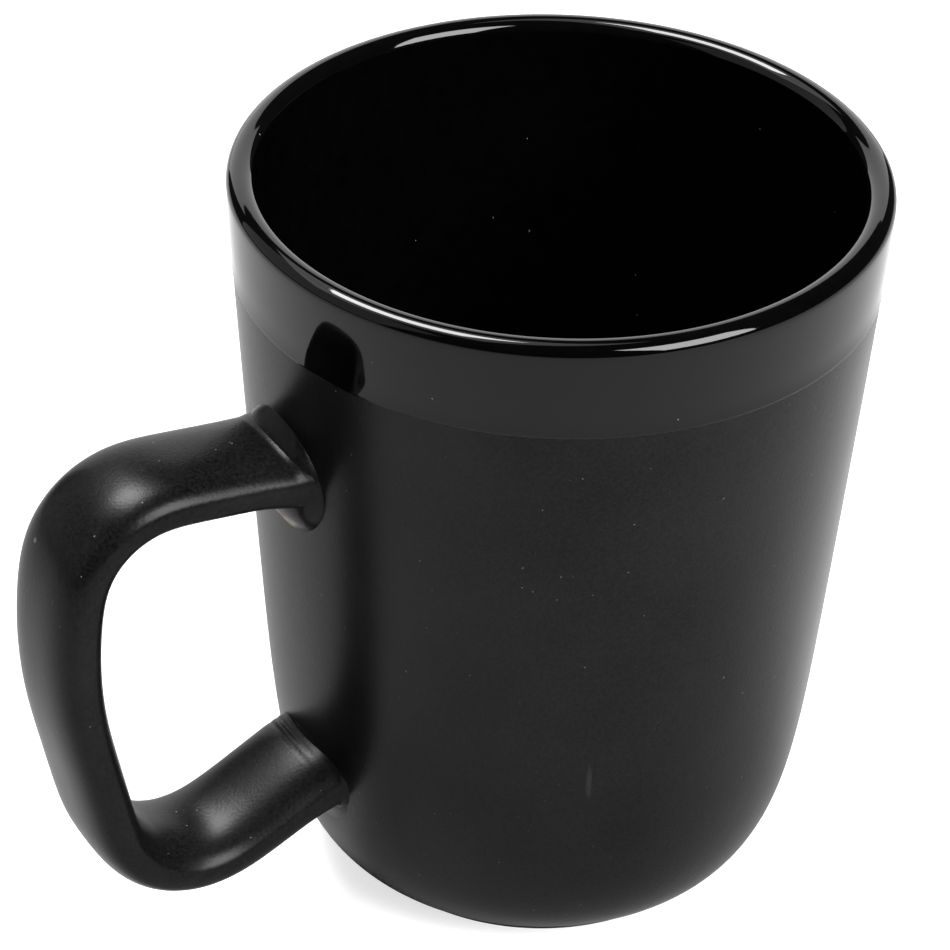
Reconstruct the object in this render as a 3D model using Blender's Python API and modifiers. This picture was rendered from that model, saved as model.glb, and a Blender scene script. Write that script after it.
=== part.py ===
"""Ceramic mug: a turned stoneware cup, a strap handle, the two slip joints that lute the
handle to the wall, and the gloss glaze coat that lines the cup and turns over its lip.

Frame: the Z axis is the cup's own axis, z = 0 is the flat dry base that it stands on, and
the handle points along -X. All sizes are in metres.
"""
import math

import bmesh
import bpy
from mathutils import Vector

# Cup: overall sizes
HEIGHT = 0.1000              # lip top above the base
RIM_RADIUS = 0.0410          # widest radius, at the lip
BELLY_RADIUS = 0.0367        # outer radius where the straight wall ends
BELLY_HEIGHT = 0.0405        # height where the straight wall ends
TAPER_POWER = 1.09           # 1 is a plain cone; more bows the wall outwards

# Cup: lip, wall, floor and foot
LIP_THICKNESS = 0.0036
LIP_ROUND = 0.0016           # height of the rounded top of the lip
WALL_THICKNESS = 0.0042      # glazed wall at the belly
FLOOR_HEIGHT = 0.0060        # glazed inner floor above the base
FLOOR_RADIUS = 0.0180        # flat middle of the inner floor
FLOOR_PULL = 0.0110          # how far the inner floor runs flat before it curls up
WALL_PULL = 0.0220           # how far the inner wall runs down before it curls in
HIP_PULL = 0.0249            # how far the outer wall runs down before it curls in
FOOT_PULL = 0.0084           # how far the underside curve runs out of the foot
FOOT_RISE = math.radians(25.8)   # slope of that curve where it meets the foot
FOOT_RADIUS = 0.0259
FOOT_STEP = 0.0014           # height of the foot's own upright edge
FOOT_DRAFT = 0.0004          # how much narrower that edge is at the very bottom

# Gloss glaze coat
GLAZE_THICKNESS = 0.0005
BAND_DEPTH = 0.0128          # how far the coat runs down the outside from the lip top
FIT_GAP = 0.0003             # space left between pieces that touch

# Handle: corners of its centre line, as distance from the cup's axis and height
HANDLE_TOP_ROOT = (0.0353, 0.0697)
HANDLE_SHOULDER = (0.0674, 0.0734)
HANDLE_BACK = (0.0708, 0.0506)
HANDLE_HEEL = (0.0617, 0.0098)
HANDLE_LOW_ROOT = (0.0300, 0.0244)
SHOULDER_RADIUS = 0.0115
BACK_RADIUS = 0.0600
HEEL_RADIUS = 0.0130
HANDLE_WIDTH = 0.0157
HANDLE_THICKNESS = 0.0069
HANDLE_SQUARENESS = 2.8      # 2 is an ellipse; more squares off the section's corners

# Slip joints: oval pads between the handle's ends and the wall
JOINT_THICKNESS = 0.0010
UPPER_JOINT_HEIGHT = 0.0684  # height of the pad's middle
UPPER_JOINT_SIZE = (0.0172, 0.0164)   # width round the wall, height up it
LOWER_JOINT_HEIGHT = 0.0200
LOWER_JOINT_SIZE = (0.0164, 0.0138)

# Smoothness
TURN_STEPS = 60
LIP_STEPS = 8
WALL_STEPS = 5
CURL_STEPS = 7
SECTION_STEPS = 20
BEND_ANGLE = math.radians(12)
OVAL_STEPS = 28
MERGE = 0.00001
CUT_MARGIN = 0.004

LIP_HEIGHT = HEIGHT - LIP_ROUND
BAND_HEIGHT = HEIGHT - BAND_DEPTH


def clear_scene():
    """Remove every object of the start-up scene."""
    for item in list(bpy.data.objects):
        bpy.data.objects.remove(item, do_unlink=True)


def make_collection(name):
    """Return a new collection linked to the scene."""
    collection = bpy.data.collections.new(name)
    bpy.context.scene.collection.children.link(collection)
    return collection


def make_material(name, colour, roughness):
    """Return a ceramic material: its colour, how rough it is, and no metal."""
    material = bpy.data.materials.new(name)
    material.use_nodes = True
    shader = material.node_tree.nodes["Principled BSDF"]
    shader.inputs["Base Color"].default_value = (*colour, 1.0)
    shader.inputs["Roughness"].default_value = roughness
    shader.inputs["Metallic"].default_value = 0.0
    return material


# ---------------------------------------------------------------- cup outline

def outer_radius(height):
    """Radius of the finished outer wall at a height between the belly and the lip."""
    share = (LIP_HEIGHT - height) / (LIP_HEIGHT - BELLY_HEIGHT)
    return RIM_RADIUS - (RIM_RADIUS - BELLY_RADIUS) * max(share, 0.0) ** TAPER_POWER


def inner_radius(height):
    """Radius of the finished inner wall, which is thinnest at the lip."""
    share = (LIP_HEIGHT - height) / (LIP_HEIGHT - BELLY_HEIGHT)
    return outer_radius(height) - LIP_THICKNESS - (WALL_THICKNESS - LIP_THICKNESS) * share


def wall_points(radius_at, start, end, steps):
    """Points of a wall whose radius is a function of height."""
    heights = [start + (end - start) * step / steps for step in range(steps + 1)]
    return [Vector((radius_at(height), height)) for height in heights]


def curl(start, start_pull, end_pull, end, steps):
    """Points of a cubic curve between two points, with a pull vector at each."""
    first, second = start + start_pull, end + end_pull
    points = []
    for step in range(steps + 1):
        t = step / steps
        s = 1.0 - t
        points.append(s ** 3 * start + 3 * s * s * t * first + 3 * s * t * t * second + t ** 3 * end)
    return points


def wall_direction(radius_at):
    """Unit vector down a wall where it reaches the belly."""
    step = 0.0005
    here = Vector((radius_at(BELLY_HEIGHT), BELLY_HEIGHT))
    above = Vector((radius_at(BELLY_HEIGHT + step), BELLY_HEIGHT + step))
    return (here - above).normalized()


def coated_outline():
    """Glazed surface from the middle of the inner floor, up, over the lip and down the band."""
    floor_edge = Vector((FLOOR_RADIUS, FLOOR_HEIGHT))
    belly = Vector((inner_radius(BELLY_HEIGHT), BELLY_HEIGHT))
    down = wall_direction(inner_radius)
    points = [Vector((0.0, FLOOR_HEIGHT))]
    points += curl(floor_edge, Vector((FLOOR_PULL, 0.0)), down * WALL_PULL, belly, CURL_STEPS)
    points += wall_points(inner_radius, BELLY_HEIGHT, LIP_HEIGHT, WALL_STEPS)[1:]
    middle = RIM_RADIUS - LIP_THICKNESS / 2
    for step in range(1, LIP_STEPS):
        angle = math.pi * (1.0 - step / LIP_STEPS)
        lip = (middle + LIP_THICKNESS / 2 * math.cos(angle), LIP_HEIGHT + LIP_ROUND * math.sin(angle))
        points.append(Vector(lip))
    points += wall_points(outer_radius, LIP_HEIGHT, BAND_HEIGHT, 2)
    return points


def inset(points, distance):
    """The outline moved into the wall by a distance, square to itself."""
    moved = []
    last = len(points) - 1
    for index, point in enumerate(points):
        before, after = points[max(index - 1, 0)], points[min(index + 1, last)]
        along = (after - before).normalized()
        moved.append(point + Vector((along.y, -along.x)) * distance)
    moved[0].x = 0.0
    return moved


def matte_outline(start, grow=0.0):
    """Outer surface from a height below the band down to the edge of the base."""
    points = wall_points(outer_radius, start, BELLY_HEIGHT, WALL_STEPS)
    down = wall_direction(outer_radius) * HIP_PULL
    foot_top = Vector((FOOT_RADIUS, FOOT_STEP))
    out = Vector((math.cos(FOOT_RISE), math.sin(FOOT_RISE))) * FOOT_PULL
    points += curl(points[-1], down, out, foot_top, CURL_STEPS)[1:]
    points.append(Vector((FOOT_RADIUS - FOOT_DRAFT, 0.0)))
    return [Vector((point.x + grow, point.y)) for point in points]


def clay_outline():
    """Clay surface from the inner floor, under the coat, down the outside, to the base's middle."""
    depth = GLAZE_THICKNESS + FIT_GAP
    shoulder = BAND_HEIGHT - FIT_GAP
    points = inset(coated_outline(), depth)[:-1]
    points.append(Vector((outer_radius(shoulder) - depth, shoulder)))
    points += matte_outline(shoulder)
    points.append(Vector((0.0, 0.0)))
    return points


# ---------------------------------------------------------------- solids

def turned(name, outline, collection, closed=False):
    """Turn an outline round the Z axis into one closed body."""
    mesh = bpy.data.meshes.new(name)
    count = len(outline)
    edges = [(index, index + 1) for index in range(count - 1)]
    if closed:
        edges.append((count - 1, 0))
    mesh.from_pydata([(point.x, 0.0, point.y) for point in outline], edges, [])
    item = bpy.data.objects.new(name, mesh)
    collection.objects.link(item)
    screw = item.modifiers.new("Turn", "SCREW")
    screw.steps = TURN_STEPS
    screw.render_steps = TURN_STEPS
    screw.use_merge_vertices = True
    screw.merge_threshold = MERGE
    screw.use_smooth_shade = True
    weld = item.modifiers.new("Close the axis", "WELD")
    weld.merge_threshold = MERGE
    return item


def make_cutter(name, outline, collection, closed=False):
    """Turn an outline into a hidden guide that cuts other pieces."""
    item = turned(name, outline, collection, closed)
    item.hide_render = True
    item.display_type = "WIRE"
    return item


def cut(item, cutter, operation):
    """Add an exact Boolean to an object."""
    boolean = item.modifiers.new(cutter.name, "BOOLEAN")
    boolean.operation = operation
    boolean.solver = "EXACT"
    boolean.object = cutter


def rounded_path(corners, radii):
    """Points of a path whose inner corners are rounded by arcs."""
    points = [corners[0]]
    for before, corner, after, radius in zip(corners, corners[1:], corners[2:], radii):
        back = (before - corner).normalized()
        on = (after - corner).normalized()
        opening = back.angle(on)
        reach = radius / math.tan(opening / 2)
        centre = corner + (back + on).normalized() * radius / math.sin(opening / 2)
        start = corner + back * reach - centre
        turn = math.pi - opening
        steps = max(2, round(turn / BEND_ANGLE))
        side = math.copysign(1.0, back.x * on.y - back.y * on.x)
        for step in range(steps + 1):
            angle = side * turn * step / steps
            cosine, sine = math.cos(angle), math.sin(angle)
            spoke = Vector((start.x * cosine + start.y * sine, start.y * cosine - start.x * sine))
            points.append(centre + spoke)
    points.append(corners[-1])
    return points


def add_poly(curve, points, cyclic):
    """Add a straight-segment spline to a curve."""
    spline = curve.splines.new("POLY")
    spline.points.add(len(points) - 1)
    for target, point in zip(spline.points, points):
        target.co = (point.x, point.y, 0.0, 1.0)
    spline.use_cyclic_u = cyclic


def squared_off(value):
    """A sine or cosine raised to the power that squares off an ellipse."""
    return math.copysign(abs(value) ** (2 / HANDLE_SQUARENESS), value)


def strap_section(collection):
    """Closed curve of the handle's cross-section, thickness along x and width along y."""
    curve = bpy.data.curves.new("strap_section", "CURVE")
    points = []
    for step in range(SECTION_STEPS):
        angle = math.tau * step / SECTION_STEPS
        x = squared_off(math.cos(angle)) * HANDLE_THICKNESS / 2
        y = squared_off(math.sin(angle)) * HANDLE_WIDTH / 2
        points.append(Vector((x, y)))
    add_poly(curve, points, True)
    item = bpy.data.objects.new("strap_section", curve)
    item.hide_render = True
    item.display_type = "WIRE"
    collection.objects.link(item)
    return item


def swept_strap(section, collection):
    """Sweep the section along the handle's centre line and return it as one mesh object."""
    corners = (HANDLE_TOP_ROOT, HANDLE_SHOULDER, HANDLE_BACK, HANDLE_HEEL, HANDLE_LOW_ROOT)
    corners = [Vector((-reach, height)) for reach, height in corners]
    path = rounded_path(corners, (SHOULDER_RADIUS, BACK_RADIUS, HEEL_RADIUS))
    curve = bpy.data.curves.new("handle_path", "CURVE")
    curve.dimensions = "2D"
    curve.bevel_mode = "OBJECT"
    curve.bevel_object = section
    curve.use_fill_caps = True
    add_poly(curve, path, False)
    guide = bpy.data.objects.new("handle_path", curve)
    guide.rotation_euler.x = math.pi / 2
    collection.objects.link(guide)
    bpy.context.view_layer.update()
    evaluated = guide.evaluated_get(bpy.context.evaluated_depsgraph_get())
    mesh = bpy.data.meshes.new_from_object(evaluated)
    mesh.name = "handle"
    mesh.transform(guide.matrix_world)
    work = bmesh.new()
    work.from_mesh(mesh)
    bmesh.ops.remove_doubles(work, verts=work.verts, dist=MERGE)
    bmesh.ops.recalc_face_normals(work, faces=work.faces)
    work.to_mesh(mesh)
    work.free()
    bpy.data.objects.remove(guide, do_unlink=True)
    item = bpy.data.objects.new("handle", mesh)
    collection.objects.link(item)
    return item


def oval_block(name, height, size, collection):
    """An oval prism that lies along X and reaches from inside the wall to outside it."""
    inner = outer_radius(height) - CUT_MARGIN
    outer = RIM_RADIUS + CUT_MARGIN
    mesh = bpy.data.meshes.new(name)
    work = bmesh.new()
    bmesh.ops.create_cone(work, cap_ends=True, segments=OVAL_STEPS, radius1=0.5, radius2=0.5, depth=1.0)
    for vert in work.verts:
        across, up, along = vert.co
        reach = inner + (0.5 - along) * (outer - inner)
        vert.co = (-reach, -across * size[0], height + up * size[1])
    bmesh.ops.recalc_face_normals(work, faces=work.faces)
    work.to_mesh(mesh)
    work.free()
    item = bpy.data.objects.new(name, mesh)
    collection.objects.link(item)
    return item


def joint_ring(collection):
    """Ring that wraps the outer wall: what both slip joints are cut from."""
    start = BAND_HEIGHT - FIT_GAP
    near = matte_outline(start, FIT_GAP)
    far = matte_outline(start, FIT_GAP + JOINT_THICKNESS)
    return make_cutter("joint_ring", far + near[::-1], collection, closed=True)


def wall_block(collection):
    """Solid cup shape, grown past the slip joints, that trims the handle's ends."""
    start = BAND_HEIGHT - FIT_GAP
    far = matte_outline(start, JOINT_THICKNESS + 2 * FIT_GAP)
    outline = [Vector((0.0, start))] + far + [Vector((0.0, 0.0))]
    return make_cutter("wall_block", outline, collection)


def main():
    """Build the mug."""
    clear_scene()
    parts = make_collection("ceramic_mug")
    cutters = make_collection("cutters")

    cup = turned("cup_body", clay_outline(), parts)
    cup.data.materials.append(make_material("matte_glaze", (0.020, 0.020, 0.021), 0.55))

    coat = coated_outline()
    glaze = turned("gloss_glaze", coat + inset(coat, GLAZE_THICKNESS)[::-1], parts)
    glaze.data.materials.append(make_material("gloss_glaze", (0.008, 0.008, 0.009), 0.08))

    ring = joint_ring(cutters)
    slip = make_material("joint_slip", (0.022, 0.022, 0.023), 0.55)
    for name, height, size in (
        ("upper_joint", UPPER_JOINT_HEIGHT, UPPER_JOINT_SIZE),
        ("lower_joint", LOWER_JOINT_HEIGHT, LOWER_JOINT_SIZE),
    ):
        pad = oval_block(name, height, size, parts)
        cut(pad, ring, "INTERSECT")
        pad.data.materials.append(slip.copy())

    handle = swept_strap(strap_section(cutters), parts)
    cut(handle, wall_block(cutters), "DIFFERENCE")
    handle.data.materials.append(make_material("matte_glaze_handle", (0.020, 0.020, 0.021), 0.5))
    handle.data.shade_smooth()
    handle.data.set_sharp_from_angle(angle=math.radians(40))


main()
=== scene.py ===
# %% [markdown]
# # A ceramic mug
# The CAD model holds the mug's sizes. This script gives it its finished surface: a matte black cup, a gloss
# black lining that turns over the lip, a flat strap handle and the two slip joints that hold it.
# Every piece is made around the CAD model, so its sizes are read from the frame wherever they can be.

# %% Load the CAD model
import math

import bpy
from mathutils import Matrix, Vector


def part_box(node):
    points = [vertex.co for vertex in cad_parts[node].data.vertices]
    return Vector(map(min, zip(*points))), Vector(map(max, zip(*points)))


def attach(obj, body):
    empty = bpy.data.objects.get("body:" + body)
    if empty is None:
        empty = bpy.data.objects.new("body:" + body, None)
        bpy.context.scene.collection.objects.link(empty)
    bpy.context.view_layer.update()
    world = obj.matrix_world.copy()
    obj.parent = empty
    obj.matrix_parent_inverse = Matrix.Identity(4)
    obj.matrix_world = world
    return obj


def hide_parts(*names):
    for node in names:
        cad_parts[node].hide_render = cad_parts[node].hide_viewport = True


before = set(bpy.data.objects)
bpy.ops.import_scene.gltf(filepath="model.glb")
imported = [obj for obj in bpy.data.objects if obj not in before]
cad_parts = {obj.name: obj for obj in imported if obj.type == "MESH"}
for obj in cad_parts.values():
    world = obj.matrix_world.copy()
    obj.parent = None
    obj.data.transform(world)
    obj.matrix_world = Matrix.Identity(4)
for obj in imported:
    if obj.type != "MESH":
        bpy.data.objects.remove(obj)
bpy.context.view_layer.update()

MM = 0.001

# %% [markdown]
# The driving sizes come from the boxes of the CAD nodes. What a box can't tell, such as how the wall curves
# in to the foot, is the same named value as in the CAD model.

# %% Sizes
glaze_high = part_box("gloss_glaze")[1]
HEIGHT = glaze_high.z
RIM_RADIUS = glaze_high.x
BELLY_RADIUS = 36.7 * MM
BELLY_HEIGHT = 40.5 * MM
TAPER_POWER = 1.09              # above 1, the wall leans in more and more towards the belly
LIP_THICKNESS = 3.6 * MM
LIP_ROUND = 1.6 * MM            # height of the rounded top of the lip
LIP_HEIGHT = HEIGHT - LIP_ROUND
WALL_THICKNESS = 4.2 * MM       # at the belly
FLOOR_HEIGHT = 6.0 * MM
FLOOR_RADIUS = 18.0 * MM        # of the flat part of the inner floor
FOOT_RADIUS = 25.9 * MM
FOOT_STEP = 1.4 * MM            # height of the dry foot
FOOT_RISE = math.radians(25.8)  # slope of the underside where it leaves the foot
print("lip radius and height, mm:", round(RIM_RADIUS / MM, 2), round(HEIGHT / MM, 2))

# %% [markdown]
# ## Helpers for modelling by hand
# An operator acts on everything that is selected, and the loaded CAD nodes start out selected. So each piece
# begins by clearing the selection.

# %% Selection and mode helpers
def clear_selection():
    """Leave edit mode and deselect everything."""
    if bpy.context.object and bpy.context.object.mode != "OBJECT":
        bpy.ops.object.mode_set(mode="OBJECT")
    bpy.ops.object.select_all(action="DESELECT")


def name_new_piece(name):
    """Name the object that an operator has just added, and return it."""
    piece = bpy.context.object
    piece.name = name
    piece.data.name = name
    return piece


MERGE_DISTANCE = 0.002 * MM


def finish_mesh(piece, smooth_angle):
    """Merge doubles, point the faces outwards and shade a piece smooth."""
    bpy.ops.object.mode_set(mode="EDIT")
    bpy.ops.mesh.select_all(action="SELECT")
    bpy.ops.mesh.remove_doubles(threshold=MERGE_DISTANCE)
    bpy.ops.mesh.normals_make_consistent(inside=False)
    bpy.ops.object.mode_set(mode="OBJECT")
    bpy.ops.object.shade_smooth_by_angle(angle=smooth_angle)
    print(piece.name, len(piece.data.polygons), "faces")


clear_selection()
print("selected after clearing:", len(bpy.context.selected_objects))

# %% [markdown]
# ## Turning a cup
# A potter turns a cup on a wheel. In Blender that is one outline, drawn as a chain of edges, and spun round
# the axis. A Screw modifier would do the same, but the Spin operator is how a person would make it.

# %% Spin an outline
TURN_STEPS = 160


def spin_outline(name, outline):
    """Draw an outline by extruding one vertex from point to point, then spin it round Z."""
    clear_selection()
    bpy.ops.mesh.primitive_plane_add(size=MM)
    piece = name_new_piece(name)
    bpy.ops.object.mode_set(mode="EDIT")
    bpy.ops.mesh.select_all(action="SELECT")
    bpy.ops.mesh.merge(type="CENTER")
    radius, height = outline[0]
    bpy.ops.transform.translate(value=(radius, 0, height))
    for (r0, z0), (r1, z1) in zip(outline, outline[1:]):
        step = {"value": (r1 - r0, 0, z1 - z0)}
        bpy.ops.mesh.extrude_vertices_move(TRANSFORM_OT_translate=step)
    bpy.ops.mesh.select_all(action="SELECT")
    bpy.ops.mesh.spin(steps=TURN_STEPS, angle=math.tau, center=(0, 0, 0), axis=(0, 0, 1))
    finish_mesh(piece, smooth_angle=math.radians(40))
    return piece


print("steps in a full turn:", TURN_STEPS)

# %% [markdown]
# The outline is made from a few short functions: the outer wall as a gentle power curve, the inner wall a
# wall's thickness inside it, and a cubic curve wherever the clay turns a corner. Each function gives one
# stretch of points, so the cup and its gloss coat can share them.

# %% The two faces of the wall
def outer_radius(height):
    """Radius of the outer wall at a height between the belly and the lip."""
    share = (LIP_HEIGHT - height) / (LIP_HEIGHT - BELLY_HEIGHT)
    return RIM_RADIUS - (RIM_RADIUS - BELLY_RADIUS) * max(share, 0.0) ** TAPER_POWER


def inner_radius(height):
    """Radius of the inner wall at a height between the belly and the lip."""
    share = (LIP_HEIGHT - height) / (LIP_HEIGHT - BELLY_HEIGHT)
    return outer_radius(height) - LIP_THICKNESS - (WALL_THICKNESS - LIP_THICKNESS) * share


def wall(radius_at, start, end, steps):
    """Points of a wall from one height to another."""
    heights = [start + (end - start) * step / steps for step in range(steps + 1)]
    return [Vector((radius_at(height), height)) for height in heights]


print("wall at the lip, mm:", round((outer_radius(LIP_HEIGHT) - inner_radius(LIP_HEIGHT)) / MM, 2))

# %% The curves at the floor, the lip and the foot
FLOOR_PULL = 11.0 * MM      # how far the inner floor runs flat before it curls up
WALL_PULL = 22.0 * MM       # how far the inner wall runs down before it curls in
HIP_PULL = 24.9 * MM        # how far the outer wall runs down before it curls in
FOOT_PULL = 8.4 * MM        # how far the underside's curve runs out of the foot
DIRECTION_DROP = 0.5 * MM   # step down the wall that its direction is measured over


def curl(start, first, second, end, steps):
    """Points of a cubic curve."""
    points = []
    for step in range(steps + 1):
        t = step / steps
        s = 1 - t
        points.append(s ** 3 * start + 3 * s * s * t * first + 3 * s * t * t * second + t ** 3 * end)
    return points


def belly_direction(radius_at):
    """Unit vector down the wall at the belly."""
    change = radius_at(BELLY_HEIGHT) - radius_at(BELLY_HEIGHT + DIRECTION_DROP)
    return Vector((change, -DIRECTION_DROP)).normalized()


def lining_points():
    """The inner surface from the middle of the floor up to the lip."""
    belly = Vector((inner_radius(BELLY_HEIGHT), BELLY_HEIGHT))
    edge = Vector((FLOOR_RADIUS, FLOOR_HEIGHT))
    points = [Vector((0, FLOOR_HEIGHT))]
    down = belly_direction(inner_radius) * WALL_PULL
    points += curl(edge, edge + Vector((FLOOR_PULL, 0)), belly + down, belly, steps=24)
    return points + wall(inner_radius, BELLY_HEIGHT, LIP_HEIGHT, steps=16)[1:]


def lip_points(steps):
    """The rounded top of the lip, from inside to outside, without its ends."""
    middle = RIM_RADIUS - LIP_THICKNESS / 2
    points = []
    for step in range(1, steps):
        angle = math.pi * (1 - step / steps)
        lip = (middle + LIP_THICKNESS / 2 * math.cos(angle), LIP_HEIGHT + LIP_ROUND * math.sin(angle))
        points.append(Vector(lip))
    return points


def hip_points(steps):
    """The outer surface from the belly round to the top of the foot."""
    belly = Vector((outer_radius(BELLY_HEIGHT), BELLY_HEIGHT))
    foot = Vector((FOOT_RADIUS, FOOT_STEP))
    out = Vector((math.cos(FOOT_RISE), math.sin(FOOT_RISE))) * FOOT_PULL
    down = belly_direction(outer_radius) * HIP_PULL
    return curl(belly, belly + down, foot + out, foot, steps)


def inset(points, distance):
    """An outline moved square to itself, into the clay."""
    moved = []
    for index, point in enumerate(points):
        along = points[min(index + 1, len(points) - 1)] - points[max(index - 1, 0)]
        along.normalize()
        moved.append(point + Vector((along.y, -along.x)) * distance)
    moved[0].x = 0
    return moved


print("points on the lining:", len(lining_points()))

# %% [markdown]
# ## The cup
# The clay cup runs under the gloss coat at the top, shows as the matte wall below it, and ends in a dry foot.
# The coat sits in a shallow rebate, so that the outside stays one smooth line.

# %% Turn the cup
COAT = 0.5 * MM                         # depth of the rebate that the gloss coat fills
BAND_HEIGHT = HEIGHT - 12.8 * MM        # where the gloss coat ends on the outside
BASE_SETBACK = 0.4 * MM                 # how far the base stands inside the foot's edge
BASE_CHAMFER = 0.35 * MM


def cup_outline():
    """The clay, from the middle of the inner floor to the middle of the base."""
    rim = lip_points(steps=24) + wall(outer_radius, LIP_HEIGHT, BAND_HEIGHT, steps=6)
    outline = inset(lining_points() + rim, COAT)[:-1]
    ledge = Vector((outer_radius(BAND_HEIGHT), BAND_HEIGHT))
    outline.append(ledge - Vector((COAT, 0)))
    outline.append(ledge)
    outline += wall(outer_radius, BAND_HEIGHT, BELLY_HEIGHT, steps=20)[1:]
    outline += hip_points(steps=36)[1:]
    base_edge = FOOT_RADIUS - BASE_SETBACK
    outline.append(Vector((base_edge, BASE_CHAMFER)))
    outline.append(Vector((base_edge - BASE_CHAMFER, 0)))
    outline.append(Vector((0, 0)))
    return outline


cup = spin_outline("mug_cup", cup_outline())

# %% [markdown]
# ## The gloss coat
# The gloss glaze was poured in and the lip was dipped, so it is a thin shell with a rounded lower edge. The
# edge stands a hair proud of the wall and catches the light as one fine line.

# %% Turn the gloss coat
COAT_CLEARANCE = 0.05 * MM      # between the coat's back and the clay, so that the two don't touch
BEAD = 0.10 * MM                # how far the lower edge stands proud of the wall
BEAD_TOP = 2.0 * MM             # height over which the edge swells
BEAD_PROFILE = [(0.25, 1.2), (0.6, 0.6), (0.9, 0.25), (1.0, 0.12), (0.8, 0.03), (0.0, -0.04)]


def coat_outline():
    """The gloss coat: its outer face, a rounded bead at its lower edge, and its inner face.

    The bead's profile is given as (share of its thickness, height above the band in mm).
    """
    inside = lining_points() + lip_points(steps=32)
    face = inside + wall(outer_radius, LIP_HEIGHT, BAND_HEIGHT + BEAD_TOP, steps=10)
    for share, rise in BEAD_PROFILE:
        height = BAND_HEIGHT + rise * MM
        face.append(Vector((outer_radius(height) + share * BEAD, height)))
    back = inside + wall(outer_radius, LIP_HEIGHT, BAND_HEIGHT, steps=10)
    return face + inset(back, COAT - COAT_CLEARANCE)[::-1]


coat = spin_outline("mug_gloss_coat", coat_outline())

# %% [markdown]
# ## The handle
# The handle is a flat strap of clay, bent while soft. Its centre line is five corners, and the three inner
# ones are rounded by arcs, the same as in the CAD model. The strap starts as one small face, a squared-off
# oval, which is extruded from station to station along that line and turned a little each time. A curve with
# a bevel would be quicker, but it can't place its stations closer together near the wall, where the clay is
# pushed about.

# %% The handle's centre line
HANDLE_CORNERS = [(-35.3, 69.7), (-67.4, 73.4), (-70.8, 50.6), (-61.7, 9.8), (-30.0, 24.4)]  # x and z, mm
HANDLE_BENDS = [11.5, 60.0, 13.0]  # radii of the arcs, mm
BEND_STEPS = 24


def rounded_path(corners, radii):
    """Points of a path whose inner corners are rounded by arcs."""
    points = [corners[0]]
    for before, corner, after, radius in zip(corners, corners[1:], corners[2:], radii):
        back = (before - corner).normalized()
        on = (after - corner).normalized()
        opening = back.angle(on)
        centre = corner + (back + on).normalized() * radius / math.sin(opening / 2)
        start = corner + back * radius / math.tan(opening / 2) - centre
        turn = math.pi - opening
        side = math.copysign(1, back.x * on.y - back.y * on.x)
        for step in range(BEND_STEPS + 1):
            angle = side * turn * step / BEND_STEPS
            cosine, sine = math.cos(angle), math.sin(angle)
            spoke = Vector((start.x * cosine + start.y * sine, start.y * cosine - start.x * sine))
            points.append(centre + spoke)
    return points + [corners[-1]]


path = rounded_path([Vector(corner) * MM for corner in HANDLE_CORNERS], [bend * MM for bend in HANDLE_BENDS])
print("points on the centre line:", len(path))

# %% Stations along the centre line
STATION = 1.5 * MM          # spacing of the stations on the open strap
ROOT_STATION = 0.3 * MM     # and near its two ends
ROOT_LENGTH = 16 * MM
EASING_PASSES = 4


def path_lengths(points):
    """Distance along a path to each of its points."""
    lengths = [0.0]
    for here, there in zip(points, points[1:]):
        lengths.append(lengths[-1] + (there - here).length)
    return lengths


def read_path(points, places):
    """The points that lie at given distances along a path."""
    lengths = path_lengths(points)
    read = []
    piece = 0
    for along in places:
        while piece < len(points) - 2 and lengths[piece + 1] < along:
            piece += 1
        share = (along - lengths[piece]) / (lengths[piece + 1] - lengths[piece])
        read.append(points[piece].lerp(points[piece + 1], share))
    return read


def eased(points, passes):
    """A path whose bends are softened, so that its curvature has no jumps."""
    for _ in range(passes):
        middle = [(a + 2 * b + c) / 4 for a, b, c in zip(points, points[1:], points[2:])]
        points = [points[0]] + middle + [points[-1]]
    return points


def station_places(total):
    """Distances of the stations along the path: close together at both roots, wider between."""
    places = [ROOT_STATION * step for step in range(round(ROOT_LENGTH / ROOT_STATION))]
    count = round((total - 2 * ROOT_LENGTH) / STATION)
    middle = [ROOT_LENGTH + (total - 2 * ROOT_LENGTH) * step / count for step in range(count + 1)]
    return places + middle + [total - place for place in places[::-1]]


path_length = path_lengths(path)[-1]
even_count = round(path_length / STATION)
even_places = [path_length * step / even_count for step in range(even_count + 1)]
smooth_path = eased(read_path(path, even_places), EASING_PASSES)
stations = read_path(smooth_path, station_places(path_lengths(smooth_path)[-1]))
print("handle stations:", len(stations))

# %% Sweep the strap
HANDLE_WIDTH = 15.7 * MM
HANDLE_THICKNESS = 6.9 * MM
HANDLE_SQUARENESS = 2.8     # 2 is an oval, and a higher number is nearer to a rectangle
SECTION_VERTICES = 32


def heading(points, index):
    """Direction of the path at a station, as an angle in the XZ plane."""
    ahead = points[min(index + 1, len(points) - 1)] - points[max(index - 1, 0)]
    return math.atan2(ahead.y, ahead.x)


def squared_off(value):
    """A sine or cosine raised to the power that squares off a circle."""
    return math.copysign(abs(value) ** (2 / HANDLE_SQUARENESS), value)


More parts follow.
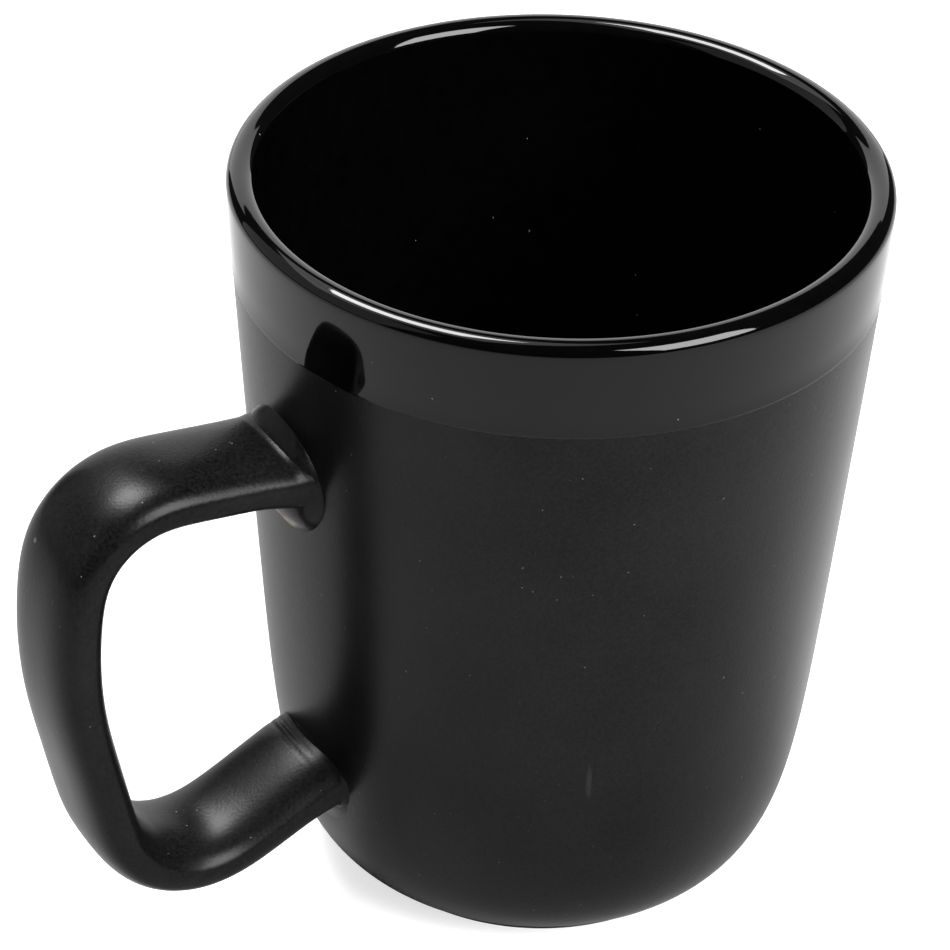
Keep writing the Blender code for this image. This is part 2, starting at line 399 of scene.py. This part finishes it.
def sweep_strap(name, points):
    """Extrude a squared-off oval along the path and return the closed strap."""
    clear_selection()
    first = points[0]
    bpy.ops.mesh.primitive_circle_add(vertices=SECTION_VERTICES, radius=1, fill_type="NGON")
    piece = name_new_piece(name)
    for vertex in piece.data.vertices:
        across, up = squared_off(vertex.co.x), squared_off(vertex.co.y)
        vertex.co = (0, across * HANDLE_WIDTH / 2, up * HANDLE_THICKNESS / 2)
    bpy.ops.object.mode_set(mode="EDIT")
    bpy.ops.mesh.select_all(action="SELECT")
    bpy.ops.transform.translate(value=(first.x, 0, first.y))
    angle = math.pi
    for index, point in enumerate(points):
        if index:
            move = point - points[index - 1]
            step = {"value": (move.x, 0, move.y)}
            bpy.ops.mesh.extrude_region_move(TRANSFORM_OT_translate=step)
        turn = heading(points, index) - angle
        turn = (turn + math.pi) % math.tau - math.pi
        angle += turn
        centre = (point.x, 0, point.y)
        bpy.ops.transform.rotate(value=turn, orient_axis="Y", center_override=centre)
    return piece


handle = sweep_strap("mug_handle", stations)
bpy.ops.object.mode_set(mode="OBJECT")
print("strap vertices:", len(handle.data.vertices))

# %% [markdown]
# A strap doesn't stay as neat as it was cut. A thumb has rubbed down its upper edge, and the lower run has
# settled to one side. Where it is pressed on to the wall, its underside spreads and its sides flare a
# little, and the lower end keeps two fine grooves from the tool that pressed it. Each vertex is slid by an
# amount that depends on where it is on the strap, which is what proportional editing does by hand.

# %% The cup's surface and the curves that shape the clay
hip = hip_points(steps=80)


def surface_radius(height):
    """Radius of the cup's outer surface at any height."""
    if height >= BELLY_HEIGHT:
        return outer_radius(height)
    for above, below in zip(hip, hip[1:]):
        if below.y <= height <= above.y:
            share = (above.y - height) / (above.y - below.y)
            return above.x + (below.x - above.x) * share
    return FOOT_RADIUS


def flare(gap, reach):
    """A curve that grows towards the wall, from 0 at its reach to 1 at the wall."""
    return max(1 - max(gap, 0) / reach, 0) ** 2


def shoulder(gap, start, end):
    """A soft step that rises from 0 at a start to 1 at an end, with the end below the start."""
    share = min(max((start - gap) / (start - end), 0), 1)
    return share * share * (3 - 2 * share)


def fillet(gap, radius):
    """Height of a hollow quarter-round against the wall."""
    share = max(1 - max(gap, 0) / radius, 0)
    return radius * (1 - math.sqrt(max(1 - share * share, 0)))


def groove(gap, centre, width):
    """A rounded groove: 1 in its middle, 0 outside it."""
    return max(1 - ((gap - centre) / width) ** 2, 0) ** 2


def nearest_station(x, z):
    """Number of the centre line's station that is closest to a point."""
    return min(range(len(stations)), key=lambda i: (stations[i].x - x) ** 2 + (stations[i].y - z) ** 2)


print("outer radius where the strap's ends meet the wall, mm:")
print([round(surface_radius(end.y) / MM, 2) for end in (stations[0], stations[-1])])

# %% Lean and soften the strap
RUBBED_SQUARENESS = 2.2
LOWER_LEAN = math.radians(3.5)
LEAN_START, LEAN_FULL = 0.60, 0.80      # shares of the path's length


def oval_share(across, squareness):
    """Half height of a squared-off oval at a share of its half width."""
    return max(1 - across ** squareness, 0) ** (1 / squareness)


def soften_strap(piece):
    """Rub down the strap's upper edge on one side, and round and lean its lower run."""
    lengths = path_lengths(stations)
    for vertex in piece.data.vertices:
        x, y, z = vertex.co
        index = nearest_station(x, z)
        offset = Vector((x, z)) - stations[index]
        across = min(abs(y) / (HANDLE_WIDTH / 2), 1)
        square = oval_share(across, HANDLE_SQUARENESS)
        lower = shoulder(-lengths[index] / lengths[-1], -LEAN_START, -LEAN_FULL)
        if offset.y > 0 and square > 0:
            rubbed = oval_share(across, RUBBED_SQUARENESS) / square
            amount = 1 if y < 0 else lower
            offset *= 1 + (rubbed - 1) * amount * offset.y / offset.length
        angle = LOWER_LEAN * lower
        direction = heading(stations, index)
        up = Vector((-math.sin(direction), math.cos(direction)))
        rise = offset.dot(up)
        offset += up * (rise * (math.cos(angle) - 1) + y * math.sin(angle))
        place = stations[index] + offset
        vertex.co = (place.x, y * math.cos(angle) - rise * math.sin(angle), place.y)


soften_strap(handle)
print("squareness of the rubbed edge:", RUBBED_SQUARENESS)

# %% Spread the strap's two ends against the wall
UPPER_STEP = 0.42 * MM          # the step that the slip leaves on top of the upper end
GROOVE_DEPTH = 0.2 * MM
GROOVE_WIDTH = 0.45 * MM
GROOVE_GAPS = [2.2 * MM, 1.1 * MM]
LEVEL_DEPTH = 0.8712 * MM       # how much of the lower end's top is smoothed away on its far side
FAR_SIDE = 4 * MM               # half the width over which the near side turns into the far side


def upper_root(gap):
    """Spread under, over and beside the upper end at a distance from the wall, in metres."""
    under = 2.2 * MM * flare(gap, reach=9 * MM)
    over = UPPER_STEP * shoulder(gap, start=2.5 * MM, end=1.2 * MM)
    aside = 0.4 * MM * flare(gap, reach=8 * MM)
    return under, over, aside


def lower_root(gap, y):
    """Spread under, over and beside the lower end at a distance from the wall, in metres."""
    far = min(max((y + FAR_SIDE) / (2 * FAR_SIDE), 0), 1)
    grooves = GROOVE_DEPTH * sum(groove(gap, centre, GROOVE_WIDTH) for centre in GROOVE_GAPS)
    levelled = LEVEL_DEPTH * flare(gap, reach=4.4 * MM)
    under = 0.9 * MM * flare(gap, reach=7 * MM) + fillet(gap, radius=1.0 * MM)
    over = 0.3 * MM * shoulder(gap, start=12 * MM, end=4 * MM) - far * (levelled + grooves)
    aside = 0.3 * MM * flare(gap, reach=6 * MM) + fillet(gap, radius=0.5 * MM) * (1 - far)
    return under, over, aside


def spread_roots(piece):
    """Slide the vertices near the wall up, down and sideways."""
    for vertex in piece.data.vertices:
        x, y, z = vertex.co
        gap = math.hypot(x, y) - surface_radius(z)
        if gap > ROOT_LENGTH:
            continue
        under, over, aside = upper_root(gap) if z > HEIGHT / 2 else lower_root(gap, y)
        rise = (z - stations[nearest_station(x, z)].y) / (HANDLE_THICKNESS / 2)
        vertex.co.z += rise * (over if rise > 0 else under)
        vertex.co.y += aside * y / (HANDLE_WIDTH / 2)


spread_roots(handle)
print("length of each pressed end, mm:", round(ROOT_LENGTH / MM, 1))

# %% Smooth the strap
def subdivide_and_apply(piece):
    """Smooth a piece with an applied Subdivision Surface of one level."""
    clear_selection()
    piece.select_set(True)
    bpy.context.view_layer.objects.active = piece
    modifier = piece.modifiers.new("Smooth", "SUBSURF")
    modifier.levels = 1
    modifier.render_levels = 1
    bpy.ops.object.modifier_apply(modifier=modifier.name)


subdivide_and_apply(handle)
finish_mesh(handle, smooth_angle=math.radians(60))

# %% [markdown]
# ## The slip joints
# Slip is wet clay used as glue. It squeezes out round the strap's end and is smoothed down into an oval pad.
# Each pad starts as a flat oval, is raised by a few insets, and is then wrapped round the wall.

# %% Pads
PAD_SEGMENTS = 96
PAD_SINK = 0.4 * MM     # how deep a pad's edge lies in the wall


def build_up(distance, slope):
    """Share of a pad's thickness at a distance from its edge: steep at first, then levelling off."""
    share = min(max(distance / slope, 0), 1)
    return 1 - (1 - share) ** 2


def make_pad(name, height, size, steps, slopes):
    """Raise an oval by insets and wrap it round the wall.

    The steps are the insets, given as (width, rise) in mm. The slopes are how far the pad takes to reach its
    full thickness from its top edge and from its bottom edge.
    """
    clear_selection()
    bpy.ops.mesh.primitive_circle_add(vertices=PAD_SEGMENTS, radius=0.5, fill_type="NGON")
    pad = name_new_piece(name)
    bpy.ops.object.mode_set(mode="EDIT")
    bpy.ops.mesh.select_all(action="SELECT")
    bpy.ops.transform.resize(value=(size[0], size[1], 1))
    bpy.ops.transform.translate(value=(0, height, -PAD_SINK))
    for width, rise in steps:
        if width:
            bpy.ops.mesh.inset(thickness=width * MM, depth=0)
        else:
            bpy.ops.mesh.extrude_region_move(TRANSFORM_OT_translate={"value": (0, 0, 0)})
        bpy.ops.transform.translate(value=(0, 0, rise * MM))
    bpy.ops.mesh.poke()
    bpy.ops.object.mode_set(mode="OBJECT")
    top = height + size[1] / 2
    bottom = height - size[1] / 2
    for vertex in pad.data.vertices:
        y, z, rise = vertex.co
        if rise > 0:
            rise *= build_up(top - z, slopes[0]) * build_up(z - bottom, slopes[1])
        vertex.co = (-math.sqrt(surface_radius(z) ** 2 - y * y) - rise, y, z)
    subdivide_and_apply(pad)
    finish_mesh(pad, smooth_angle=math.radians(50))
    return pad


upper_pad = make_pad(
    "mug_upper_joint",
    height=68.4 * MM,
    size=(17.2 * MM, 16.4 * MM),
    steps=[
        (0, 0.4), (0.12, 0.4), (0.2, 0.5), (0.3, 0.5), (0.5, 0.4), (0.8, 0.3), (1, 0.15), (1, 0.1), (1, 0),
    ],
    slopes=(4.6 * MM, 6.0 * MM),
)
lower_pad = make_pad(
    "mug_lower_joint",
    height=20.0 * MM,
    size=(16.4 * MM, 13.8 * MM),
    steps=[(0, 0.36), (0.5, 0.07), (0.6, 0.12), (0.7, 0.25), (0.8, 0.4), (0.8, 0.5), (1, 0.4), (1, 0)],
    slopes=(4.2 * MM, 8.0 * MM),
)

# %% [markdown]
# ## Finishes
# One node group gives every glaze its fine grain and slow waviness. Another scatters pinholes and specks. The
# patterns are worked out from Object coordinates in metres, so their sizes are real ones, and no piece has to
# be unwrapped.

# %% Node helpers
def new_group(name, inputs, outputs):
    """A node group with float inputs (name: default) and float outputs."""
    group = bpy.data.node_groups.new(name, "ShaderNodeTree")
    for label, value in inputs.items():
        socket = group.interface.new_socket(label, in_out="INPUT", socket_type="NodeSocketFloat")
        socket.default_value = value
    for label in outputs:
        group.interface.new_socket(label, in_out="OUTPUT", socket_type="NodeSocketFloat")
    return group, group.nodes.new("NodeGroupInput"), group.nodes.new("NodeGroupOutput")


def add_node(tree, kind, settings=None, **values):
    """Add a node, set its properties, and link or set its inputs by name or, as i0 or i1, by place."""
    node = tree.nodes.new(kind)
    for key, value in (settings or {}).items():
        setattr(node, key, value)
    for key, value in values.items():
        place = int(key[1:]) if key[1:].isdigit() else key.replace("_", " ")
        socket = node.inputs[place]
        if isinstance(value, bpy.types.NodeSocket):
            tree.links.new(value, socket)
        else:
            socket.default_value = value
    return node


def math_node(tree, operation, first, second):
    """A Math node's output."""
    return add_node(tree, "ShaderNodeMath", {"operation": operation}, i0=first, i1=second).outputs[0]


print("node groups so far:", len(bpy.data.node_groups))

# %% Glaze grain group
MOTTLE_SCALE = 45                   # mottles to a metre
TONE_LOW, TONE_HIGH = 0.7, 1.3      # the range of two summed patterns that becomes 0 to 1


def build_grain():
    """Grain and waviness as one height in mm, a slow mottle, and a tone of grain and mottle together."""
    defaults = {"Grain Size mm": 0.25, "Grain": 0.006, "Wave Size mm": 6, "Wave": 0.02}
    group, given, result = new_group("glaze_grain", defaults, ["Height", "Mottle", "Tone"])
    place = add_node(group, "ShaderNodeTexCoord").outputs["Object"]
    heights = []
    patterns = []
    for size, depth, detail in (("Grain Size mm", "Grain", 2), ("Wave Size mm", "Wave", 3)):
        scale = math_node(group, "DIVIDE", 1 / MM, given.outputs[size])
        noise = add_node(group, "ShaderNodeTexNoise", Vector=place, Scale=scale, Detail=detail)
        patterns.append(noise.outputs["Fac"])
        heights.append(math_node(group, "MULTIPLY", noise.outputs["Fac"], given.outputs[depth]))
    group.links.new(math_node(group, "ADD", heights[0], heights[1]), result.inputs["Height"])
    mottle = add_node(group, "ShaderNodeTexNoise", Vector=place, Scale=MOTTLE_SCALE, Detail=4)
    group.links.new(mottle.outputs["Fac"], result.inputs["Mottle"])
    both = math_node(group, "ADD", patterns[0], mottle.outputs["Fac"])
    tone = add_node(group, "ShaderNodeMapRange", Value=both, From_Min=TONE_LOW, From_Max=TONE_HIGH)
    group.links.new(tone.outputs[0], result.inputs["Tone"])
    return group


GRAIN = build_grain()
print(GRAIN.name, "nodes:", len(GRAIN.nodes))

# %% Speck group
def build_specks():
    """Scattered small dots: 1 on a dot, 0 elsewhere."""
    defaults = {"Spacing mm": 6, "Radius": 0.03, "Share": 0.4}
    group, given, result = new_group("glaze_specks", defaults, ["Mask"])
    place = add_node(group, "ShaderNodeTexCoord").outputs["Object"]
    scale = math_node(group, "DIVIDE", 1 / MM, given.outputs["Spacing mm"])
    cells = add_node(group, "ShaderNodeTexVoronoi", Vector=place, Scale=scale)
    red = add_node(group, "ShaderNodeSeparateColor", Color=cells.outputs["Color"]).outputs[0]
    kept = math_node(group, "LESS_THAN", red, given.outputs["Share"])
    size = math_node(group, "MULTIPLY", red, given.outputs["Radius"])
    near = math_node(group, "LESS_THAN", cells.outputs["Distance"], size)
    group.links.new(math_node(group, "MULTIPLY", near, kept), result.inputs["Mask"])
    return group


SPECKS = build_specks()
print(SPECKS.name, "nodes:", len(SPECKS.nodes))

# %% [markdown]
# Three finishes share one recipe: the matte black glaze of the cup, the same glaze brushed on the handle, and
# the gloss black of the lining. Black glaze is nearly all reflection, so its look is in the roughness and in
# the strength of the specular reflection, and its colour only has to stay a little above zero.

# %% Material helpers
def grey(level):
    """A neutral colour."""
    return (level, level, level, 1)


def new_material(name):
    """An empty Principled material: returns it, its tree and its shader."""
    material = bpy.data.materials.new(name)
    material.use_nodes = True
    return material, material.node_tree, material.node_tree.nodes["Principled BSDF"]


def place_group(tree, group, values):
    """Put a node group in a material and set its inputs."""
    node = add_node(tree, "ShaderNodeGroup", {"node_tree": group})
    for label, value in values.items():
        node.inputs[label].default_value = value
    return node


def mix_colour(tree, factor, first, second):
    """Blend two colours by a factor. A Mix node's colours are its inputs 6 and 7 and its output 2."""
    return add_node(tree, "ShaderNodeMix", {"data_type": "RGBA"}, i0=factor, i6=first, i7=second).outputs[2]


def mix_value(tree, factor, low, high):
    """Read a 0 to 1 factor as a value between two limits."""
    return add_node(tree, "ShaderNodeMapRange", Value=factor, To_Min=low, To_Max=high).outputs[0]


print("a grey:", grey(0.5))

# %% The glazes
def glaze_material(name, dark, light, speck, rough, shine, grain, specks):
    """A glaze: mottled colour, specks, uneven roughness and a fine bump.

    Rough is the least and the most roughness, and shine is the Specular IOR Level.
    """
    material, tree, shader = new_material(name)
    surface = place_group(tree, GRAIN, grain)
    dots = place_group(tree, SPECKS, specks)
    body = mix_colour(tree, surface.outputs["Tone"], dark, light)
    colour = mix_colour(tree, dots.outputs["Mask"], body, speck)
    tree.links.new(colour, shader.inputs["Base Color"])
    tree.links.new(mix_value(tree, surface.outputs["Mottle"], rough[0], rough[1]), shader.inputs["Roughness"])
    bump = add_node(tree, "ShaderNodeBump", Strength=1.0, Distance=MM, Height=surface.outputs["Height"])
    tree.links.new(bump.outputs[0], shader.inputs["Normal"])
    shader.inputs["Specular IOR Level"].default_value = shine
    return material


def matte_material(name, shine):
    """The matte glaze, thicker and a little duller where it was brushed on."""
    return glaze_material(
        name,
        dark=grey(0.0002),
        light=(0.0050, 0.0050, 0.0051, 1),
        speck=grey(0.07),
        rough=(0.25, 0.32),
        shine=shine,
        grain={"Grain Size mm": 0.40, "Grain": 0.018, "Wave Size mm": 7, "Wave": 0.02},
        specks={"Spacing mm": 1.25, "Radius": 0.27, "Share": 0.35},
    )


matte = matte_material("matte_black_glaze", shine=0.115)
brushed = matte_material("brushed_black_glaze", shine=0.088)
gloss = glaze_material(
    "gloss_black_glaze",
    dark=grey(0.0003),
    light=(0.0007, 0.0007, 0.0008, 1),
    speck=grey(0.10),
    rough=(0.03, 0.05),
    shine=0.20,
    grain={"Grain Size mm": 2.0, "Grain": 0.0012, "Wave Size mm": 14, "Wave": 0.03},
    specks={"Spacing mm": 2.2, "Radius": 0.2, "Share": 0.3},
)
print("glazes:", [glaze.name for glaze in (matte, brushed, gloss)])

# %% [markdown]
# A hand-glazed cup has marks. The glaze has shrunk back from one short line under the upper joint, where the
# pale clay shows, and there is a faint upright scuff low on the wall and a pinhole on the handle. Each one is
# painted into a glaze as a thin ellipsoid with a ragged edge. A texture painted by hand would do as well, but
# it would need the piece to be unwrapped.

# %% Marks in the matte glaze
DRY_ROUGHNESS = 0.5                     # how much rougher bare clay is than glaze
RAGGED_SCALE = 900.0                    # ripples to a metre in a mark's edge
RAGGED_REACH = 1.1                      # how far they move it, as a share of the mark's size
EDGE_START, EDGE_END = 1.15, 1.55       # where a mark starts to fade, and where it is gone


def show_clay(tree, mask, clay):
    """Cover a finish with dry clay where a mask is 1."""
    shader = tree.nodes["Principled BSDF"]
    colour = shader.inputs["Base Color"].links[0].from_socket
    rough = shader.inputs["Roughness"].links[0].from_socket
    drier = math_node(tree, "ADD", rough, math_node(tree, "MULTIPLY", mask, DRY_ROUGHNESS))
    tree.links.new(mix_colour(tree, mask, colour, clay), shader.inputs["Base Color"])
    tree.links.new(drier, shader.inputs["Roughness"])


def add_mark(material, middle, size, tilt, dull, pale, strength):
    """Blend a small pale, rough mark into a finish. Middle and size are in mm, and tilt in degrees."""
    tree = material.node_tree
    place = add_node(tree, "ShaderNodeTexCoord").outputs["Object"]
    wobble = add_node(tree, "ShaderNodeTexNoise", Vector=place, Scale=RAGGED_SCALE, Detail=3.0).outputs["Fac"]
    centred = add_node(tree, "ShaderNodeMapping", {"vector_type": "TEXTURE"}, Vector=place)
    centred.inputs["Location"].default_value = Vector(middle) * MM
    centred.inputs["Rotation"].default_value = (math.radians(tilt), 0, 0)
    centred.inputs["Scale"].default_value = Vector(size) * MM
    length = add_node(tree, "ShaderNodeVectorMath", {"operation": "LENGTH"}, i0=centred.outputs[0])
    ripple = math_node(tree, "MULTIPLY", wobble, RAGGED_REACH)
    ragged = math_node(tree, "ADD", length.outputs["Value"], ripple)
    mask = add_node(tree, "ShaderNodeMapRange", Value=ragged, From_Min=EDGE_START, From_Max=EDGE_END)
    mask.inputs["To Min"].default_value = strength
    mask.inputs["To Max"].default_value = 0.0
    show_clay(tree, mask.outputs[0], mix_colour(tree, wobble, dull, pale))


add_mark(
    brushed,
    middle=(-39.1, -1.9, 62.0),
    size=(3.0, 4.4, 1.2),
    tilt=-30,
    dull=(0.14, 0.12, 0.09, 1),
    pale=(0.50, 0.46, 0.37, 1),
    strength=1.0,
)
add_mark(
    matte,
    middle=(-13.7, -33.3, 33.0),
    size=(1.0, 0.17, 3.2),
    tilt=4,
    dull=grey(0.01),
    pale=grey(0.04),
    strength=0.35,
)
add_mark(
    brushed,
    middle=(-71.0, 3.1, 66.7),
    size=(0.35, 0.35, 0.35),
    tilt=0,
    dull=grey(0.05),
    pale=grey(0.12),
    strength=1.0,
)
print("nodes in the marked glazes:", len(matte.node_tree.nodes), len(brushed.node_tree.nodes))

# %% [markdown]
# The base is left dry, so that the mug doesn't stick to the kiln shelf. It shows the bare clay, with the fine
# rings that the potter's tool leaves as the foot is trimmed on the wheel.

# %% Dry base
def add_dry_base(material, top):
    """Show bare clay with turned rings below a height."""
    tree = material.node_tree
    place = add_node(tree, "ShaderNodeTexCoord").outputs["Object"]
    height = add_node(tree, "ShaderNodeSeparateXYZ", Vector=place).outputs["Z"]
    mask = math_node(tree, "LESS_THAN", height, top)
    rings = {"wave_type": "RINGS", "rings_direction": "Z"}
    turned = add_node(tree, "ShaderNodeTexWave", rings, Vector=place, Scale=220.0, Distortion=1.5, Detail=2.0)
    clay = mix_colour(tree, turned.outputs["Fac"], (0.34, 0.30, 0.24, 1), (0.46, 0.41, 0.33, 1))
    show_clay(tree, mask, clay)


add_dry_base(matte, top=0.2 * MM)
print("nodes in the cup's glaze:", len(matte.node_tree.nodes))

# %% [markdown]
# Each piece takes its finish, rides the mug's one body and takes over from the CAD node it was made from.

# %% Hand the pieces over
for piece, material, slot, nodes in (
    (cup, matte, "matte_glaze", ("cup_body",)),
    (coat, gloss, "gloss_glaze", ("gloss_glaze",)),
    (handle, brushed, "handle_glaze", ("handle",)),
    (upper_pad, brushed, "joint_slip", ("upper_joint",)),
    (lower_pad, matte, "joint_slip", ("lower_joint",)),
):
    piece.data.materials.clear()
    piece.data.materials.append(material)
    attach(piece, "root")
    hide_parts(*nodes)
    print(piece.name, "wears", material.name)

# %% [markdown]
# ## The stage
# A plain pale floor under soft light. A black mug mirrors all that is round it, and a real studio is dark
# behind the camera. So the floor and the backdrop are pale to the camera and darker in reflections: a Light
# Path node tells the two apart. A floor that is as pale in the glaze as it looks would turn the mug grey.

# %% Floor
FLOOR_GREY = 0.40       # what the floor reflects
FLOOR_GLOW = 0.70       # what it adds for the camera alone

clear_selection()
bpy.ops.mesh.primitive_plane_add(size=8)
floor = name_new_piece("floor")
floor_material, floor_tree, floor_shader = new_material("pale_floor")
floor_shader.inputs["Base Color"].default_value = grey(FLOOR_GREY)
seen = add_node(floor_tree, "ShaderNodeLightPath").outputs["Is Camera Ray"]
glow = mix_colour(floor_tree, seen, grey(0), grey(FLOOR_GLOW))
floor_tree.links.new(glow, floor_shader.inputs["Emission Color"])
floor_shader.inputs["Emission Strength"].default_value = 1.0
floor_shader.inputs["Roughness"].default_value = 0.9
floor_shader.inputs["Specular IOR Level"].default_value = 0.1
floor.data.materials.append(floor_material)
print("floor grey and glow:", FLOOR_GREY, FLOOR_GLOW)

# %% Backdrop
BACKDROP_GREY = 0.05        # what the glaze mirrors
BACKDROP_GLOW = 0.86        # what the camera sees

world = bpy.data.worlds.new("studio")
bpy.context.scene.world = world
world.use_nodes = True
background = world.node_tree.nodes["Background"]
seen = add_node(world.node_tree, "ShaderNodeLightPath").outputs["Is Camera Ray"]
backdrop = mix_colour(world.node_tree, seen, grey(BACKDROP_GREY), grey(BACKDROP_GLOW))
world.node_tree.links.new(backdrop, background.inputs["Color"])
bpy.context.scene.view_settings.view_transform = "Standard"
print("backdrop grey and glow:", BACKDROP_GREY, BACKDROP_GLOW)

# %% [markdown]
# The camera looks down on the mug from the handle's side through a long lens, so that the lip stays a calm
# ellipse. Its place and angles are plain values. It rolls a little, as a camera held in the hand does.

# %% Camera
CAMERA_PLACE = Vector((-0.2433, -0.3695, 0.3566))
CAMERA_HEADING = math.radians(-32.15)
CAMERA_PITCH = math.radians(34.36)
CAMERA_ROLL = math.radians(1.87)
CAMERA_LENS = 158.3         # mm
SENSOR_WIDTH = 36           # mm

camera_data = bpy.data.cameras.new("camera")
camera_data.lens = CAMERA_LENS
camera_data.sensor_width = SENSOR_WIDTH
camera = bpy.data.objects.new("camera", camera_data)
bpy.context.collection.objects.link(camera)
turn = Matrix.Rotation(CAMERA_HEADING, 4, "Z") @ Matrix.Rotation(math.pi / 2 - CAMERA_PITCH, 4, "X")
turn = turn @ Matrix.Rotation(CAMERA_ROLL, 4, "Z")
camera.matrix_world = Matrix.Translation(CAMERA_PLACE) @ turn
bpy.context.scene.camera = camera
print("camera distance, mm:", round(CAMERA_PLACE.length / MM))

# %% [markdown]
# The light is that of a small studio. A small bright soft box high behind the mug, on its left, draws the
# highlights on the lip and the handle, and a large faint one round it softens their edges. A box behind the
# camera, on the right, lifts the front of the mug. The screens at the left and at the back brighten the two
# sides of the cup. Each is placed by its bearing and its rise, seen from the mug, so one of them can be moved
# round the mug without changing how far away it is.

# %% Lights
AHEAD = Vector((math.sin(-CAMERA_HEADING), math.cos(-CAMERA_HEADING), 0))
RIGHT = Vector((AHEAD.y, -AHEAD.x, 0))


def soft_light(name, bearing, rise, distance, size, brightness):
    """A rectangular soft box that faces the mug.

    Bearing and rise are in degrees, the bearing to the right of straight ahead. The brightness is that of the
    box's face, so a larger box gives more light.
    """
    swing = math.radians(bearing)
    tilt = math.radians(rise)
    level = AHEAD * math.cos(swing) + RIGHT * math.sin(swing)
    place = (level * math.cos(tilt) + Vector((0, 0, math.sin(tilt)))) * distance
    data = bpy.data.lights.new(name, "AREA")
    data.shape = "RECTANGLE"
    data.size, data.size_y = size
    data.energy = brightness * math.pi * size[0] * size[1]
    light = bpy.data.objects.new(name, data)
    bpy.context.collection.objects.link(light)
    light.location = place + Vector((0, 0, HEIGHT))
    light.rotation_euler = place.to_track_quat("Z", "Y").to_euler()
    light.visible_camera = False
    print(name, round(data.energy, 2), "W")


soft_light("key_light", bearing=-50, rise=66, distance=1.3, size=(0.46, 0.58), brightness=40)
soft_light("key_scrim", bearing=-52, rise=66, distance=1.5, size=(1.2, 1.2), brightness=2.4)
soft_light("front_light", bearing=130, rise=38, distance=1.4, size=(0.80, 0.95), brightness=25)
soft_light("left_screen", bearing=-90, rise=28, distance=1.2, size=(1.7, 1.2), brightness=0.75)
soft_light("back_screen", bearing=-5, rise=16, distance=1.7, size=(2.0, 1.1), brightness=2.1)
